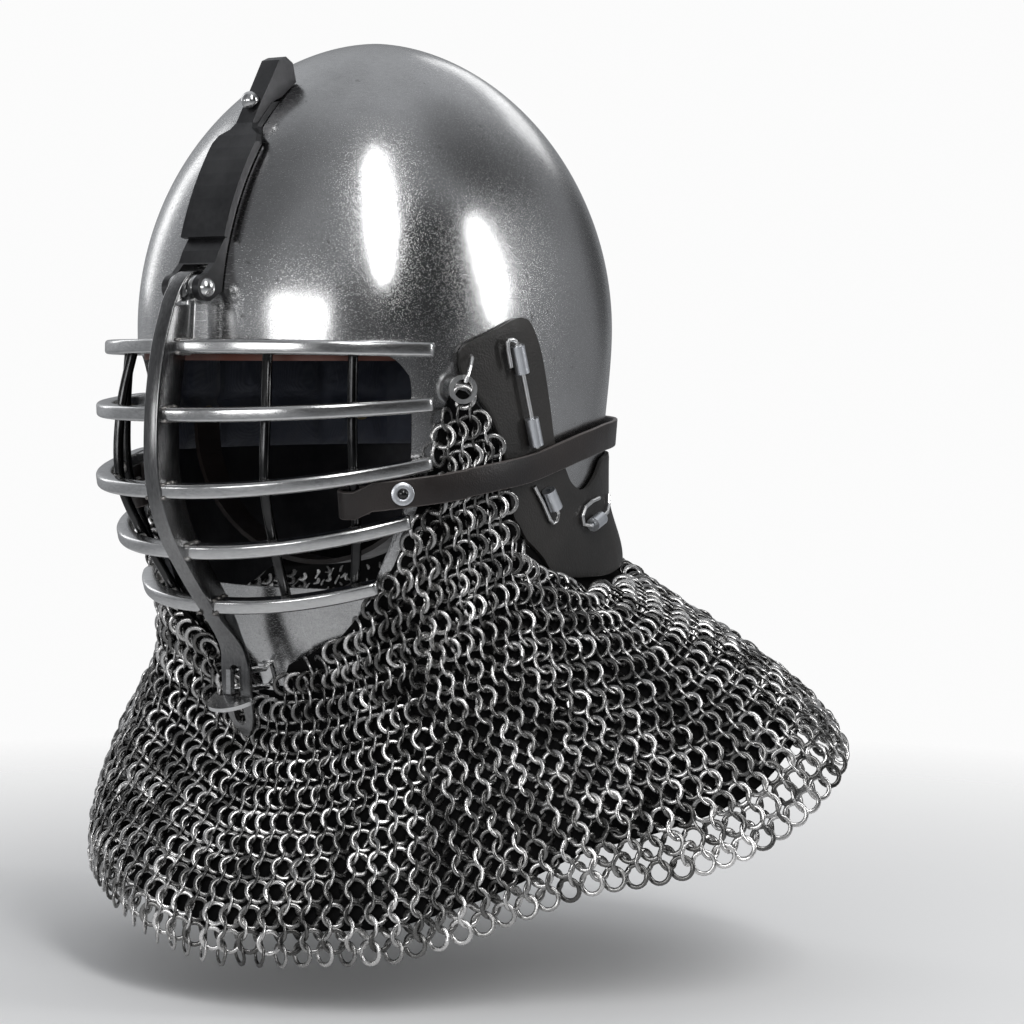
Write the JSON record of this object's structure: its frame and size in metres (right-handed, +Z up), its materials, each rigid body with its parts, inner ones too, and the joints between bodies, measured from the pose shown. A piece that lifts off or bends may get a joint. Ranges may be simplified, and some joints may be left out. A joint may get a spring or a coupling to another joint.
{
  "type": "mail-skirted bascinet helmet with hinged bar visor",
  "caption": "Round steel helmet with a bar visor hinged at the forehead, a leather strap and a mail curtain on a leather band.",
  "frame": {"origin": "middle of the wearer's head at the widest level of the skull", "axes": "+Z up, -Y the way the wearer faces, +X the wearer's left"},
  "size_m": [0.4618, 0.3376, 0.4516],
  "materials": {
    "polished_steel": "polished sheet with fine hammering and light surface wear",
    "dark_plate": "dark oiled satin steel",
    "bright_heads": "turned and polished",
    "bar_steel": "ground flat bar, bright faces and dark weld heat",
    "dark_rod": "dark round bar, smooth",
    "steel_wire": "bright wire",
    "zinc_fittings": "pale zinc plate",
    "brass_rivets": "aged brass",
    "liner_cloth": "quilted dark blue-black cloth",
    "red_leather": "red-brown edge binding",
    "band_leather": "dark grey-brown, soft sheen",
    "strap_leather": "near black with a paler cut edge",
    "mail_steel": "flat rings, dark faces and bright edges"
  },
  "bodies": {
    "helmet": {"skull": "polished_steel", "chin_plate": "polished_steel", "chin_staple": "bar_steel", "liner_pad": "liner_cloth", "brow_band": "red_leather", "liner_rivets": "brass_rivets", "hinge_leaf": "dark_plate", "hinge_keeper_plate": "dark_plate", "keeper_rivet": "bright_heads", "hinge_pin": "bright_heads", "mounting_band": "band_leather", "vervelle_tubes_left": "zinc_fittings", "vervelle_tubes_right": "zinc_fittings", "lock_wires_left": "steel_wire", "lock_wires_right": "steel_wire", "corner_ties": "steel_wire", "strap_long": "strap_leather", "strap_short": "strap_leather", "buckle_frame": "steel_wire", "strap_keeper": "strap_leather", "chin_strap": "strap_leather", "chin_strap_rivets": "steel_wire", "chin_buckle": "steel_wire", "aventail": "mail_steel"},
    "visor": {"visor_spine": "bar_steel", "visor_knuckle": "bar_steel", "thumb_tab": "bar_steel", "grill_bar_1": "bar_steel", "grill_bar_2": "bar_steel", "grill_bar_3": "bar_steel", "grill_bar_4": "bar_steel", "grill_bar_5": "bar_steel", "rod_front_left": "dark_rod", "rod_rear_left": "dark_rod", "rod_front_right": "dark_rod", "rod_rear_right": "dark_rod"},
    "tab_left": {"loop_tab_left": "strap_leather", "loop_rivet_left": "zinc_fittings"},
    "tab_right": {"loop_tab_right": "strap_leather", "loop_rivet_right": "zinc_fittings"},
    "lock_pin_left": {"lock_rod_left": "steel_wire"},
    "lock_pin_right": {"lock_rod_right": "steel_wire"},
    "prong": {"buckle_prong": "steel_wire"}
  },
  "joints": [
    {"name": "visor_lift", "type": "hinge", "parent": "helmet", "child": "visor", "pos_m": [0, -0.1344, 0.02], "axis": [-1, 0, 0], "range_deg": [0, 110]},
    {"name": "tab_left_swing", "type": "hinge", "parent": "visor", "child": "tab_left", "pos_m": [0.076, -0.0997, -0.08257], "axis": [-0.1414, 0.2268, -0.9636], "range_deg": [0, 60]},
    {"name": "tab_right_swing", "type": "hinge", "parent": "visor", "child": "tab_right", "pos_m": [-0.076, -0.0997, -0.08257], "axis": [-0.1414, -0.2268, 0.9636], "range_deg": [0, 60]},
    {"name": "lock_pin_left_slide", "type": "slide", "parent": "helmet", "child": "lock_pin_left", "axis": [0.0017, -0.2923, 0.9563], "range_m": [0, 0.03]},
    {"name": "lock_pin_right_slide", "type": "slide", "parent": "helmet", "child": "lock_pin_right", "axis": [-0.0017, -0.2923, 0.9563], "range_m": [0, 0.03]},
    {"name": "prong_swing", "type": "hinge", "parent": "helmet", "child": "prong", "pos_m": [-0.11382, 0.0161, -0.06234], "axis": [0, 0, -1], "range_deg": [0, 80]}
  ]
}
